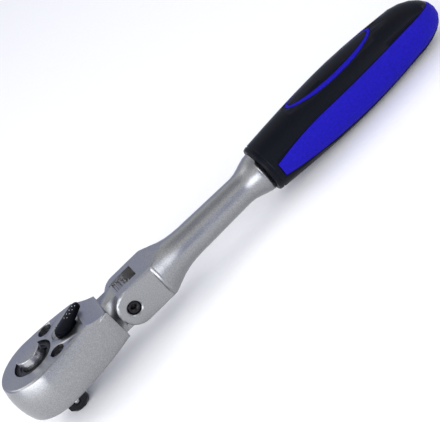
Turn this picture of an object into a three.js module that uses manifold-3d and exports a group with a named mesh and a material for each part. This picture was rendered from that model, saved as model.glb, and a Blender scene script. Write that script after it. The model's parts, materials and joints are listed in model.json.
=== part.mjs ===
// Flex head ratchet with a 3/8 inch square drive.
// Millimetres, +Z up on the lever side, +X from the drive towards the butt of the grip.
// The origin is the centre of the drive square's end face.

import * as THREE from 'three';
import { mergeVertices } from 'three/addons/utils/BufferGeometryUtils.js';
import Module from 'manifold-3d';

const wasm = await Module();
wasm.setup();

// Clearances shared by every pair of pieces
const RUNNING_GAP = 0.3;
const PIN_GAP = 0.15;
const WELD = 1e-4;

// How far cutting bodies run past what they cut
const OVERRUN = 1;

// Facets
const ROUND = 28;
const SMALL_ROUND = 14;
const SHANK_ROUND = 36;
const SOCKET_SIDES = 6;
const NOSE_STEPS = 26;
const SIDE_STEPS = 5;
const WALL_STEPS = 5;
const EDGE_STEPS = 3;
const RAMP_STEPS = 8;
const EAR_STEPS = 16;
const FLARE_STEPS = 6;
const COLLAR_STEPS = 5;
const TAB_STEPS = 8;
const INLAY_STEPS = 6;
const GRIP_SIDES = 28;
const GRIP_STEPS = 8;
const BUTT_STEPS = 6;
const STEPS_PER_CURL = 8;
const WIRE_SIDES = 5;

// Head forging
const HEAD_RADIUS = 17.2;
const HEAD_CROWN = 1.7;
const HEAD_THICKNESS = 20;
const HEAD_SIDE_RADIUS = 90;
const TOP_EDGE_RADIUS = 0.9;
const BOTTOM_EDGE_RADIUS = 1.6;
const SHOULDER_X = 35;
const SHOULDER_HALF_WIDTH = 9.5;
const RAMP_START_X = 25.2;
const RAMP_KNEE_X = 30.4;
const RAMP_END_RISE = 0.55;
const AXIS_HEIGHT = 8.5;

// Drive: square, gear, boss and neck are one forging
const DRIVE_SIDE = 9.53;
const DRIVE_LENGTH = 11;
const DRIVE_TAPER = 3;
const DRIVE_END_BEVEL = 0.6;
const DRIVE_CORNER_CUT = 0.2;
const GEAR_TEETH = 72;
const GEAR_RADIUS = 11.6;
const TOOTH_DEPTH = 0.75;
const TOOTH_TIP_SHARE = 0.1;
const TOOTH_ROOT_SHARE = 0.4;
const TOOTH_SPREAD_SHARE = 0.08;
const GEAR_HEIGHT = 12;
const BOSS_RADIUS = 9.5;
const BOSS_DROP = 0.8;
const NECK_RADIUS = 7.6;

// Quick release
const BUTTON_RADIUS = 6.1;
const BUTTON_RISE = 3.6;
const BUTTON_TRAVEL = 2.5;
const BUTTON_EDGE = 0.4;
const FLANGE_WIDTH = 0.9;
const FLANGE_THICKNESS = 1.3;
const CLIP_THICKNESS = 0.9;
const CLIP_DEPTH = 0.4;
const CLIP_GROOVE = 0.6;
const CLIP_SPLIT = 2;
const STEM_RADIUS = 2;
const STEM_NECK_RADIUS = 1.2;
const STEM_NECK_LENGTH = 2.4;
const STEM_CONE_LENGTH = 1.6;
const STEM_PAST_BALL = 0.9;
const CONE_ABOVE_BALL = 0.5;
const RELEASE_SPRING_LENGTH = 6.2;
const RELEASE_SPRING_RADIUS = 3.1;
const RELEASE_WIRE = 0.8;
const RELEASE_TURNS = 4;
const BALL_RADIUS = 1.5;
const BALL_PROUD = 0.6;
const BALL_HEIGHT = 4.8;

// Cover plate on the drive side and its two screws
const PLATE_THICKNESS = 1.8;
const PLATE_INSET = 3;
const PLATE_REAR_X = 27;
const SCREW_X = 10.4;
const SCREW_INSET = 6;
const SCREW_Y = HEAD_RADIUS - SCREW_INSET;
const SCREW_HEAD_RADIUS = 3.2;
const SCREW_HEAD_HEIGHT = 1.5;
const SCREW_HEAD_DROP = 0.7;
const SCREW_CROWN = 0.8;
const SCREW_RADIUS = 1.25;
const SCREW_SOCKET = 1.5;

// Reversing lever and pawl
const LEVER_X = 18.2;
const LEVER_THROW = THREE.MathUtils.degToRad(40);
const RECESS_RADIUS = 7.05;
const HUB_RADIUS = 5.2;
const HUB_DEPTH = 2;
const HUB_RISE = 0.5;
const HUB_BEVEL = 0.8;
const TAB_FRONT = 6;
const TAB_SHOULDER = 3;
const TAB_HALF_WIDTH = 4.5;
const TAB_REACH = 11.3;
const TAB_OFFSET = 2.2;
const TAB_TIP_RADIUS = 2.8;
const TAB_HEIGHT = 2.2;
const TAB_BEVEL = 0.5;
const SPINDLE_RADIUS = 2.2;
const LEVER_CLIP_WIDTH = 1.5;
const LEVER_CLIP_THICKNESS = 0.8;
const LEVER_CLIP_GROOVE = 0.5;
const LEVER_CLIP_SPLIT = 3;
const PAWL_HEIGHT = 6.9;
const PAWL_TILT = THREE.MathUtils.degToRad(5);
const PAWL_INNER_ANGLE = THREE.MathUtils.degToRad(11);
const PAWL_OUTER_ANGLE = THREE.MathUtils.degToRad(33);
const PAWL_DEPTH = 3.3;
const PAWL_RELIEF = 0.6;
const PAWL_BACK_HALF = 4;
const PAWL_PIN_RADIUS = 0.8;
const PAWL_PIN_SEAT = 1.5;
const TOOTH_GAP = 0.2;
const SELECTOR_RADIUS = 0.8;
const SELECTOR_PROUD = 0.35;
const SELECTOR_LENGTH = 1.65;
const SELECTOR_NOSE = 0.55;
const SELECTOR_SPRING_RADIUS = 0.5;
const SELECTOR_WIRE = 0.3;
const SELECTOR_TURNS = 2;
const SELECTOR_WALL = 0.7;

// Flex joint
const TONGUE_RADIUS = 8;
const TONGUE_THICKNESS = 10;
const TONGUE_GAP = 0.25;
const INDEX_PITCH = 15;
const INDEX_RANGE = 90;
const NOTCH_DEPTH = 0.9;
const NOTCH_ROOT = 0.4;
const NOTCH_MOUTH = 0.8;
const FORK_WIDTH = 20;
const FORK_HEIGHT = 17.6;
const FOLD_GAP = 0.6;
const EAR_SETBACK = 1.6;
const EAR_BEVEL = 0.7;
const SLOT_CLEARANCE = 2.2;
const PIVOT_RADIUS = 3;
const PIVOT_DROP = 0.9;
const PIVOT_SOCKET = 1.75;
const PIVOT_SOCKET_DEPTH = 3;
const PIVOT_BEVEL = 0.5;
const INDEX_PIN_RADIUS = 2.4;
const INDEX_PIN_LENGTH = 8;
const INDEX_SPRING_RADIUS = 1.7;
const INDEX_SPRING_LENGTH = 10;
const INDEX_WIRE = 0.6;
const INDEX_TURNS = 6;

// Shank, a round forging that flares into the fork and into the collar
const FORK_ROUND_RADIUS = 12.9;
const FORK_BACK_X = 59.5;
const FLARE_LENGTH = 25;
const FLARE_EDGE = 1.5;
const FLARE_LEAN = THREE.MathUtils.degToRad(33);
const SHANK_FRONT_RADIUS = 7.3;
const SHANK_REAR_RADIUS = 6.8;
const COLLAR_LENGTH = 12;
const COLLAR_RADIUS = 9.6;
const TANG_RADIUS = 5.5;
const TANG_FLAT = 4.6;
const TANG_LENGTH = 78;

// Grip
const GRIP_FRONT_X = 122.7;
const GRIP_LENGTH = 102.2;
const GRIP_FRONT_RADIUS = 11.45;
const GRIP_SWELL_RADIUS = 14;
const GRIP_SWELL_AT = 49;
const GRIP_SWELL_CURVE = 1.7;
const GRIP_REAR_RADIUS = 12.15;
const GRIP_BUTT_LENGTH = 20.5;
const GRIP_BUTT_DROP = 1.3;
const GRIP_BUTT_SWEEP = THREE.MathUtils.degToRad(85);
const GRIP_LIP = 1;
const GRIP_BEAD = 2;
const GRIP_GROOVE = 0.4;
const GRIP_SQUARENESS = 2.05;
const INLAY_DEPTH = 1.6;
const INLAY_FRONT = 5.3;
const INLAY_FRONT_TOP = 2.1;
const INLAY_FRONT_LOW = 4.3;
const INLAY_TOP = 5.3;
const INLAY_LOW = 9.7;
const INLAY_END_TOP = 3.2;
const INLAY_END_LOW = 4.6;
const INLAY_TOP_PULL = 16;
const INLAY_TOP_RUN = 30;
const INLAY_END_PULL = 12;
const INLAY_LOW_PULL = 22;
const INLAY_LOW_AT = 57;
const BADGE_CENTRE = 49.3;
const BADGE_HALF_LENGTH = 24.6;
const BADGE_HALF_WIDTH = 8.3;
const BADGE_RING_WIDTH = 1.6;
const BADGE_DEPTH = 0.9;

// Places that follow from the sizes above
const HEAD_BOTTOM = DRIVE_LENGTH;
const HEAD_TOP = HEAD_BOTTOM + HEAD_THICKNESS;
const AXIS_Z = HEAD_BOTTOM + AXIS_HEIGHT;
const PIVOT_X = SHOULDER_X + FORK_HEIGHT / 2 + FOLD_GAP;
const PLATE_TOP = HEAD_BOTTOM + PLATE_THICKNESS;
const GEAR_BOTTOM = PLATE_TOP + RUNNING_GAP;
const GEAR_TOP = GEAR_BOTTOM + GEAR_HEIGHT;
const GEAR_POCKET_TOP = GEAR_TOP + RUNNING_GAP;
const BOSS_TOP = HEAD_TOP - BOSS_DROP;
const CLIP_TOP = BOSS_TOP - CLIP_DEPTH;
const FLANGE_RADIUS = BUTTON_RADIUS + FLANGE_WIDTH;
const FLANGE_TOP = CLIP_TOP - CLIP_THICKNESS - RUNNING_GAP;
const FLANGE_BOTTOM = FLANGE_TOP - FLANGE_THICKNESS;
const BUTTON_BORE_FLOOR = FLANGE_BOTTOM - BUTTON_TRAVEL - RUNNING_GAP;
const SPRING_BORE_RADIUS = RELEASE_SPRING_RADIUS + RELEASE_WIRE / 2 + RUNNING_GAP;
const SPRING_BORE_FLOOR = FLANGE_BOTTOM - RELEASE_SPRING_LENGTH - 2 * PIN_GAP;
const STEM_END = BALL_HEIGHT - STEM_PAST_BALL;
const STEM_BORE_FLOOR = STEM_END - BUTTON_TRAVEL - RUNNING_GAP;
const BALL_Y = -(DRIVE_SIDE / 2 + BALL_PROUD - BALL_RADIUS);
const HUB_FLOOR = HEAD_TOP - HUB_DEPTH;
const HUB_TOP = HEAD_TOP + HUB_RISE;
const PAWL_BOTTOM = GEAR_BOTTOM;
const PAWL_TOP = PAWL_BOTTOM + PAWL_HEIGHT;
const LEVER_CLIP_BOTTOM = PAWL_TOP + 2 * RUNNING_GAP;
const PAWL_POCKET_TOP = LEVER_CLIP_BOTTOM + LEVER_CLIP_THICKNESS + RUNNING_GAP;
const SELECTOR_Z = (PAWL_BOTTOM + PAWL_TOP) / 2;
const SELECTOR_TIP = SPINDLE_RADIUS + SELECTOR_PROUD;
const PAWL_FRONT = GEAR_RADIUS + PAWL_RELIEF;
const PAWL_BACK = LEVER_X - SELECTOR_TIP - 2 * PIN_GAP;
const PAWL_PIN_X = (PAWL_FRONT + PAWL_BACK) / 2;
const SLOT_END_X = PIVOT_X + TONGUE_RADIUS + SLOT_CLEARANCE;
const INDEX_PIN_TIP = PIVOT_X + TONGUE_RADIUS - NOTCH_DEPTH + PIN_GAP;
const INDEX_PIN_END = INDEX_PIN_TIP + INDEX_PIN_LENGTH;
const GRIP_END_X = GRIP_FRONT_X + GRIP_LENGTH;
const BUTT_X = GRIP_END_X - GRIP_BUTT_LENGTH;
const TANG_END_X = GRIP_FRONT_X + TANG_LENGTH;

// Finishes
function finish(color, roughness, metalness) {
  return new THREE.MeshStandardMaterial({ color, roughness, metalness });
}
const SATIN_CHROME = finish(0xb4b6bb, 0.38, 1);
const POLISHED_CHROME = finish(0xc9cacd, 0.15, 1);
const BLACK_OXIDE = finish(0x1b1b20, 0.35, 0.8);
const BLACK_LEVER = finish(0x0c0d10, 0.25, 0.1);
const TOOL_STEEL = finish(0x8b8d91, 0.35, 1);
const SPRING_STEEL = finish(0x9a9ca0, 0.3, 1);
const GRIP_BLACK = finish(0x14161c, 0.5, 0);
const GRIP_BLUE = finish(0x2018a8, 0.45, 0);

// A closed geometry becomes a solid that can be joined and cut
function toSolid(geometry) {
  const loose = geometry.index ? geometry.toNonIndexed() : geometry.clone();
  loose.deleteAttribute('normal');
  loose.deleteAttribute('uv');
  const welded = mergeVertices(loose, WELD);
  const corners = welded.index.array;
  const outward = [];
  const inward = [];
  for (let i = 0; i < corners.length; i += 3) {
    const [a, b, c] = [corners[i], corners[i + 1], corners[i + 2]];
    if (a !== b && b !== c && c !== a) {
      outward.push(a, b, c);
      inward.push(a, c, b);
    }
  }
  const vertProperties = Float32Array.from(welded.attributes.position.array);
  const build = (triangles) => new wasm.Manifold(
    new wasm.Mesh({ numProp: 3, vertProperties, triVerts: Uint32Array.from(triangles) }),
  );
  const solid = build(outward);
  return solid.volume() > 0 ? solid : build(inward);
}

// A solid becomes one named mesh
function piece(name, solid, material) {
  const { vertProperties, triVerts } = solid.getMesh();
  const geometry = new THREE.BufferGeometry();
  geometry.setAttribute('position', new THREE.BufferAttribute(Float32Array.from(vertProperties), 3));
  geometry.setIndex(new THREE.BufferAttribute(Uint32Array.from(triVerts), 1));
  geometry.computeVertexNormals();
  const mesh = new THREE.Mesh(geometry, material);
  mesh.name = name;
  return mesh;
}

const cutAll = (body, tools) => tools.reduce((left, tool) => left.subtract(tool), body);

// Points along an arc, both ends included
function arc(cx, cy, radius, from, to, steps) {
  const points = [];
  for (let i = 0; i <= steps; i += 1) {
    const angle = from + ((to - from) * i) / steps;
    points.push(new THREE.Vector2(cx + radius * Math.cos(angle), cy + radius * Math.sin(angle)));
  }
  return points;
}

// An outline in plan, stood up between two heights
function standing(outline, low, high) {
  const shape = new THREE.Shape(outline);
  const geometry = new THREE.ExtrudeGeometry(shape, { depth: high - low, bevelEnabled: false });
  geometry.translate(0, 0, low);
  return toSolid(geometry);
}

// An outline in side view, with X across and Z up, given a width across the tool
function sideways(outline, width) {
  const geometry = new THREE.ExtrudeGeometry(new THREE.Shape(outline), { depth: width, bevelEnabled: false });
  geometry.translate(0, 0, -width / 2);
  geometry.rotateX(Math.PI / 2);
  return toSolid(geometry);
}

// A profile of [radius, height] pairs turned about a line along Z
function turned(profile, x = 0, y = 0, facets = ROUND) {
  const geometry = new THREE.LatheGeometry(profile.map(([r, h]) => new THREE.Vector2(r, h)), facets);
  geometry.rotateX(Math.PI / 2);
  geometry.translate(x, y, 0);
  return toSolid(geometry);
}

const rod = (radius, low, high, x = 0, y = 0, facets = ROUND) => turned(
  [[0, low], [radius, low], [radius, high], [0, high]],
  x,
  y,
  facets,
);

// The same for a line along X at the handle's height, and a line along Y through a point
function turnedAlongX(profile, facets = ROUND) {
  const geometry = new THREE.LatheGeometry(profile.map(([r, x]) => new THREE.Vector2(r, x)), facets);
  geometry.rotateZ(-Math.PI / 2);
  geometry.translate(0, 0, AXIS_Z);
  return toSolid(geometry);
}

function turnedAlongY(profile, x, z, facets = ROUND) {
  const geometry = new THREE.LatheGeometry(profile.map(([r, y]) => new THREE.Vector2(r, y)), facets);
  geometry.translate(x, 0, z);
  return toSolid(geometry);
}

function block(lowCorner, highCorner) {
  const size = highCorner.map((value, i) => value - lowCorner[i]);
  const geometry = new THREE.BoxGeometry(...size);
  geometry.translate(...lowCorner.map((value, i) => value + size[i] / 2));
  return toSolid(geometry);
}

// Rings of equal count become a closed skin with a fan over each end
function loft(rings) {
  const count = rings[0].length;
  const points = rings.flat();
  const triangles = [];
  for (let ring = 0; ring + 1 < rings.length; ring += 1) {
    for (let side = 0; side < count; side += 1) {
      const a = ring * count + side;
      const b = ring * count + ((side + 1) % count);
      triangles.push(a, b, b + count, a, b + count, a + count);
    }
  }
  const last = (rings.length - 1) * count;
  for (const first of [0, last]) {
    const hub = points.length;
    const middle = new THREE.Vector3();
    for (let side = 0; side < count; side += 1) {
      middle.addScaledVector(points[first + side], 1 / count);
    }
    points.push(middle);
    for (let side = 0; side < count; side += 1) {
      const here = first + side;
      const next = first + ((side + 1) % count);
      triangles.push(...(first === 0 ? [hub, next, here] : [hub, here, next]));
    }
  }
  const geometry = new THREE.BufferGeometry().setFromPoints(points);
  geometry.setIndex(triangles);
  return toSolid(geometry);
}

// A round wire wound about Z from one height to another
class Helix extends THREE.Curve {
  constructor(radius, turns, low, high) {
    super();
    Object.assign(this, { radius, turns, low, high });
  }

  getPoint(t, target = new THREE.Vector3()) {
    const angle = 2 * Math.PI * this.turns * t;
    const height = this.low + (this.high - this.low) * t;
    return target.set(this.radius * Math.cos(angle), this.radius * Math.sin(angle), height);
  }
}

function coilSpring(name, radius, turns, wire, low, high) {
  const helix = new Helix(radius, turns, low + wire / 2, high - wire / 2);
  const section = new THREE.Shape(arc(0, 0, wire / 2, 0, 2 * Math.PI, WIRE_SIDES).slice(0, WIRE_SIDES));
  const steps = Math.round(STEPS_PER_CURL * turns);
  const geometry = new THREE.ExtrudeGeometry(section, { steps, extrudePath: helix, bevelEnabled: false });
  const points = helix.getPoints(steps);
  let least = Infinity;
  for (let i = 0; i < points.length; i += 1) {
    for (let j = i + STEPS_PER_CURL / 2; j < points.length; j += 1) {
      least = Math.min(least, points[i].distanceTo(points[j]) - wire);
    }
  }
  console.log(`${name}: least gap of the wire to itself ${least.toFixed(2)} mm`);
  return geometry;
}

// Plan outline of the head: a nose arc running into a long arc on each side
function headOutline(inset, endX) {
  const reach = HEAD_SIDE_RADIUS - HEAD_RADIUS;
  const shoulder = Math.hypot(SHOULDER_X, SHOULDER_HALF_WIDTH);
  const share = (HEAD_SIDE_RADIUS ** 2 - shoulder ** 2 - reach ** 2) / (2 * reach * shoulder);
  const lean = Math.asin(share) - Math.atan2(SHOULDER_HALF_WIDTH, SHOULDER_X);
  const centreX = -reach * Math.sin(lean);
  const centreY = -reach * Math.cos(lean);
  const meet = Math.PI / 2 - lean;
  const sideRadius = HEAD_SIDE_RADIUS - inset;
  const end = Math.acos((endX - centreX) / sideRadius);
  const side = arc(centreX, centreY, sideRadius, end, meet, SIDE_STEPS);
  const nose = arc(0, 0, HEAD_RADIUS - inset, meet, 2 * Math.PI - meet, NOSE_STEPS);
  const mirrored = side.map((p) => new THREE.Vector2(p.x, -p.y)).reverse();
  return [...side, ...nose.slice(1, -1), ...mirrored];
}

// The wall swells between its edges, most at the nose and not at all at the shoulder
function headSwell(x, z) {
  const level = (2 * (z - HEAD_BOTTOM)) / HEAD_THICKNESS - 1;
  const share = THREE.MathUtils.clamp(1 - x / SHOULDER_X, 0, 1);
  return 1 + (HEAD_CROWN * share * (1 - level * level)) / HEAD_RADIUS;
}

function headBlank() {
  const beyond = SHOULDER_X + RUNNING_GAP;
  const low = [];
  const high = [];
  for (let i = 0; i <= EDGE_STEPS; i += 1) {
    const turn = (i / EDGE_STEPS) * (Math.PI / 2);
    const rise = 1 - Math.cos(turn);
    const inset = 1 - Math.sin(turn);
    low.push([HEAD_BOTTOM + BOTTOM_EDGE_RADIUS * rise, BOTTOM_EDGE_RADIUS * inset]);
    high.unshift([HEAD_TOP - TOP_EDGE_RADIUS * rise, TOP_EDGE_RADIUS * inset]);
  }
  const wallLow = HEAD_BOTTOM + BOTTOM_EDGE_RADIUS;
  const wallHeight = HEAD_THICKNESS - BOTTOM_EDGE_RADIUS - TOP_EDGE_RADIUS;
  const wall = [];
  for (let i = 1; i < WALL_STEPS; i += 1) {
    wall.push([wallLow + (wallHeight * i) / WALL_STEPS, 0]);
  }
  const rings = [...low, ...wall, ...high].map(([z, inset]) => headOutline(inset, beyond).map((p) => {
    const swell = headSwell(p.x, z);
    return new THREE.Vector3(p.x * swell, p.y * swell, z);
  }));
  const span = 2 * HEAD_RADIUS;
  const keep = block([-span, -span, 0], [SHOULDER_X, span, HEAD_TOP + span]);
  return loft(rings).intersect(keep);
}

// The top falls in a hollow curve from the flat to the tongue
function rampCutter() {
  const low = AXIS_Z + TONGUE_RADIUS;
  const beyond = PIVOT_X + 2 * TONGUE_RADIUS;
  const shape = new THREE.Path();
  shape.moveTo(RAMP_START_X, HEAD_TOP);
  shape.quadraticCurveTo(RAMP_KNEE_X, low + RAMP_END_RISE, SHOULDER_X, low);
  shape.lineTo(beyond, low);
  shape.lineTo(beyond, HEAD_TOP + HEAD_THICKNESS);
  shape.lineTo(RAMP_START_X, HEAD_TOP + HEAD_THICKNESS);
  return sideways(shape.getPoints(RAMP_STEPS), 4 * HEAD_RADIUS);
}

// Index notches run round the tongue's end, one every pitch
function tongueOutline() {
  const root = SHOULDER_X - TONGUE_RADIUS / 2;
  const outline = [new THREE.Vector2(root, AXIS_Z - TONGUE_RADIUS)];
  const corners = [[TONGUE_RADIUS, -NOTCH_MOUTH], [TONGUE_RADIUS - NOTCH_DEPTH, -NOTCH_ROOT],
    [TONGUE_RADIUS - NOTCH_DEPTH, NOTCH_ROOT], [TONGUE_RADIUS, NOTCH_MOUTH]];
  for (let at = -INDEX_RANGE; at <= INDEX_RANGE; at += INDEX_PITCH) {
    const angle = THREE.MathUtils.degToRad(at);
    for (const [radius, across] of corners) {
      const turn = angle + across / TONGUE_RADIUS;
      outline.push(new THREE.Vector2(PIVOT_X + radius * Math.cos(turn), AXIS_Z + radius * Math.sin(turn)));
    }
  }
  outline.push(new THREE.Vector2(root, AXIS_Z + TONGUE_RADIUS));
  return outline;
}

function pivotBore() {
  const radius = PIVOT_RADIUS + PIN_GAP;
  return turnedAlongY(
    [[0, -FORK_WIDTH], [radius, -FORK_WIDTH], [radius, FORK_WIDTH], [0, FORK_WIDTH]],
    PIVOT_X,
    AXIS_Z,
  );
}

function headHousing() {
  const tongue = sideways(tongueOutline(), TONGUE_THICKNESS);
  const body = headBlank().subtract(rampCutter()).add(tongue);
  const pocketHalf = (PAWL_FRONT + PAWL_DEPTH) * Math.sin(PAWL_OUTER_ANGLE) + 2 * RUNNING_GAP;
  const pocketBack = PAWL_BACK + 2 * RUNNING_GAP;
  const spindleRoom = SPINDLE_RADIUS + LEVER_CLIP_WIDTH + RUNNING_GAP;
  const recess = block(
    [-2 * HEAD_RADIUS, -2 * HEAD_RADIUS, 0],
    [PLATE_REAR_X + RUNNING_GAP, 2 * HEAD_RADIUS, PLATE_TOP],
  ).intersect(standing(headOutline(PLATE_INSET - RUNNING_GAP, SHOULDER_X), 0, PLATE_TOP));
  const above = HEAD_TOP + OVERRUN;
  const pinTop = PAWL_POCKET_TOP + PAWL_PIN_SEAT;
  const tools = [
    recess,
    rod(GEAR_RADIUS + RUNNING_GAP, HEAD_BOTTOM, GEAR_POCKET_TOP),
    rod(BOSS_RADIUS + RUNNING_GAP, HEAD_BOTTOM, above),
    block([0, -pocketHalf, HEAD_BOTTOM], [pocketBack, pocketHalf, PAWL_POCKET_TOP]),
    rod(spindleRoom, HEAD_BOTTOM, PAWL_POCKET_TOP, LEVER_X, 0),
    rod(SPINDLE_RADIUS + PIN_GAP, HEAD_BOTTOM, above, LEVER_X, 0, SMALL_ROUND),
    rod(RECESS_RADIUS, HUB_FLOOR, above, LEVER_X, 0),
    rod(PAWL_PIN_RADIUS + PIN_GAP, HEAD_BOTTOM, pinTop, PAWL_PIN_X, 0, SMALL_ROUND),
    pivotBore(),
  ];
  const headSeat = HEAD_TOP - SCREW_HEAD_DROP - SCREW_HEAD_HEIGHT - RUNNING_GAP;
  for (const side of [-1, 1]) {
    const y = side * SCREW_Y;
    tools.push(rod(SCREW_RADIUS + PIN_GAP, HEAD_BOTTOM, HEAD_TOP, SCREW_X, y, SMALL_ROUND));
    tools.push(rod(SCREW_HEAD_RADIUS + RUNNING_GAP, headSeat, above, SCREW_X, y, SMALL_ROUND));
  }
  return piece('head_housing', cutAll(body, tools), SATIN_CHROME);
}

function coverPlate() {
  const blank = standing(headOutline(PLATE_INSET, SHOULDER_X), HEAD_BOTTOM, PLATE_TOP);
  const keep = block([-2 * HEAD_RADIUS, -2 * HEAD_RADIUS, 0], [PLATE_REAR_X, 2 * HEAD_RADIUS, HEAD_TOP]);
  const tools = [rod(NECK_RADIUS + RUNNING_GAP, 0, HEAD_TOP)];
  for (const side of [-1, 1]) {
    tools.push(rod(SCREW_RADIUS + PIN_GAP, 0, HEAD_TOP, SCREW_X, side * SCREW_Y, SMALL_ROUND));
  }
  return piece('cover_plate', cutAll(blank.intersect(keep), tools), SATIN_CHROME);
}

function coverScrew(name, side) {
  const top = HEAD_TOP - SCREW_HEAD_DROP;
  const seat = top - SCREW_HEAD_HEIGHT;
  const low = HEAD_BOTTOM + PIN_GAP;
  const dome = arc(0, 0, 1, 0, Math.PI / 2, EDGE_STEPS).map((p) => (
    [SCREW_HEAD_RADIUS * p.x, top - SCREW_CROWN * (1 - p.y)]
  ));
  const screw = turned([
    [0, low], [SCREW_RADIUS, low], [SCREW_RADIUS, seat], [SCREW_HEAD_RADIUS, seat], ...dome,
  ], SCREW_X, side * SCREW_Y, SMALL_ROUND);
  const socket = rod(SCREW_SOCKET, seat + RUNNING_GAP, top + OVERRUN, SCREW_X, side * SCREW_Y, SOCKET_SIDES);
  return piece(name, screw.subtract(socket), TOOL_STEEL);
}

// Gear outline; grown by a clearance it also cuts the pawl's teeth
function gearOutline(clearance) {
  const outline = [];
  const pitch = (2 * Math.PI) / GEAR_TEETH;
  const tip = GEAR_RADIUS + clearance;
  const root = GEAR_RADIUS - TOOTH_DEPTH + clearance;
  const spread = Math.min(clearance / GEAR_RADIUS, TOOTH_SPREAD_SHARE * pitch);
  for (let tooth = 0; tooth < GEAR_TEETH; tooth += 1) {
    const middle = tooth * pitch;
    const corners = [
      [root, -TOOTH_ROOT_SHARE], [tip, -TOOTH_TIP_SHARE], [tip, TOOTH_TIP_SHARE], [root, TOOTH_ROOT_SHARE],
    ];
    for (const [radius, share] of corners) {
      const angle = middle + share * pitch + Math.sign(share) * spread;
      outline.push(new THREE.Vector2(radius * Math.cos(angle), radius * Math.sin(angle)));
    }
  }
  return outline;
}

function driveGear() {
  const half = DRIVE_SIDE / 2;
  const overlap = RUNNING_GAP;
  const neckTop = GEAR_BOTTOM + overlap;
  const squareTop = HEAD_BOTTOM - RUNNING_GAP + overlap;
  const corner = half * Math.SQRT2 - DRIVE_CORNER_CUT;
  const trim = turned([
    [0, 0], [half - DRIVE_END_BEVEL, 0], [corner, DRIVE_TAPER], [corner, squareTop], [0, squareTop],
  ]);
  const square = block([-half, -half, 0], [half, half, squareTop]).intersect(trim);
  const body = standing(gearOutline(0), GEAR_BOTTOM, GEAR_TOP)
    .add(rod(BOSS_RADIUS, GEAR_TOP - overlap, BOSS_TOP))
    .add(rod(NECK_RADIUS, HEAD_BOTTOM - RUNNING_GAP, neckTop))
    .add(square);
  const buttonBore = FLANGE_RADIUS + RUNNING_GAP;
  const ballBore = turnedAlongY(
    [[0, -DRIVE_SIDE], [BALL_RADIUS + PIN_GAP, -DRIVE_SIDE], [BALL_RADIUS + PIN_GAP, 0], [0, 0]],
    0,
    BALL_HEIGHT,
    SMALL_ROUND,
  );
  const tools = [
    rod(buttonBore, BUTTON_BORE_FLOOR, BOSS_TOP + OVERRUN),
    rod(buttonBore + CLIP_GROOVE, CLIP_TOP - CLIP_THICKNESS - PIN_GAP, CLIP_TOP + PIN_GAP),
    rod(SPRING_BORE_RADIUS, SPRING_BORE_FLOOR, BOSS_TOP),
    rod(STEM_RADIUS + PIN_GAP, STEM_BORE_FLOOR, BOSS_TOP, 0, 0, SMALL_ROUND),
    ballBore,
  ];
  return piece('drive_gear', cutAll(body, tools), BLACK_OXIDE);
}

function releaseButton() {
  const top = HEAD_TOP + BUTTON_RISE;
  const coneLow = BALL_HEIGHT + CONE_ABOVE_BALL;
  const neckLow = coneLow + STEM_CONE_LENGTH;
  const neckHigh = neckLow + STEM_NECK_LENGTH;
  return piece('release_button', turned([
    [0, STEM_END], [STEM_RADIUS, STEM_END], [STEM_RADIUS, coneLow], [STEM_NECK_RADIUS, neckLow],
    [STEM_NECK_RADIUS, neckHigh], [STEM_RADIUS, neckHigh + STEM_CONE_LENGTH / 2],
    [STEM_RADIUS, FLANGE_BOTTOM], [FLANGE_RADIUS, FLANGE_BOTTOM],
    [FLANGE_RADIUS, FLANGE_TOP], [BUTTON_RADIUS, FLANGE_TOP],
    [BUTTON_RADIUS, top - BUTTON_EDGE], [BUTTON_RADIUS - BUTTON_EDGE, top], [0, top],
  ]), POLISHED_CHROME);
}

// A flat ring with a gap, as retaining rings have
function splitRing(inner, outer, low, high, gap) {
  const ring = turned([[inner, low], [outer, low], [outer, high], [inner, high], [inner, low]]);
  return ring.subtract(block([0, -gap / 2, low - OVERRUN], [outer + OVERRUN, gap / 2, high + OVERRUN]));
}

function buttonClip() {
  const inner = BUTTON_RADIUS + RUNNING_GAP;
  const outer = FLANGE_RADIUS + RUNNING_GAP + CLIP_GROOVE - PIN_GAP;
  const ring = splitRing(inner, outer, CLIP_TOP - CLIP_THICKNESS, CLIP_TOP, CLIP_SPLIT);
  return piece('button_clip', ring, BLACK_OXIDE);
}

function releaseSpring() {
  const high = FLANGE_BOTTOM - PIN_GAP;
  const spring = coilSpring(
    'release_spring',
    RELEASE_SPRING_RADIUS,
    RELEASE_TURNS,
    RELEASE_WIRE,
    high - RELEASE_SPRING_LENGTH,
    high,
  );
  return piece('release_spring', toSolid(spring), SPRING_STEEL);
}

function detentBall() {
  const geometry = new THREE.SphereGeometry(BALL_RADIUS, SMALL_ROUND, SMALL_ROUND / 2);
  geometry.translate(0, BALL_Y, BALL_HEIGHT);
  return piece('detent_ball', toSolid(geometry), POLISHED_CHROME);
}

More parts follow.
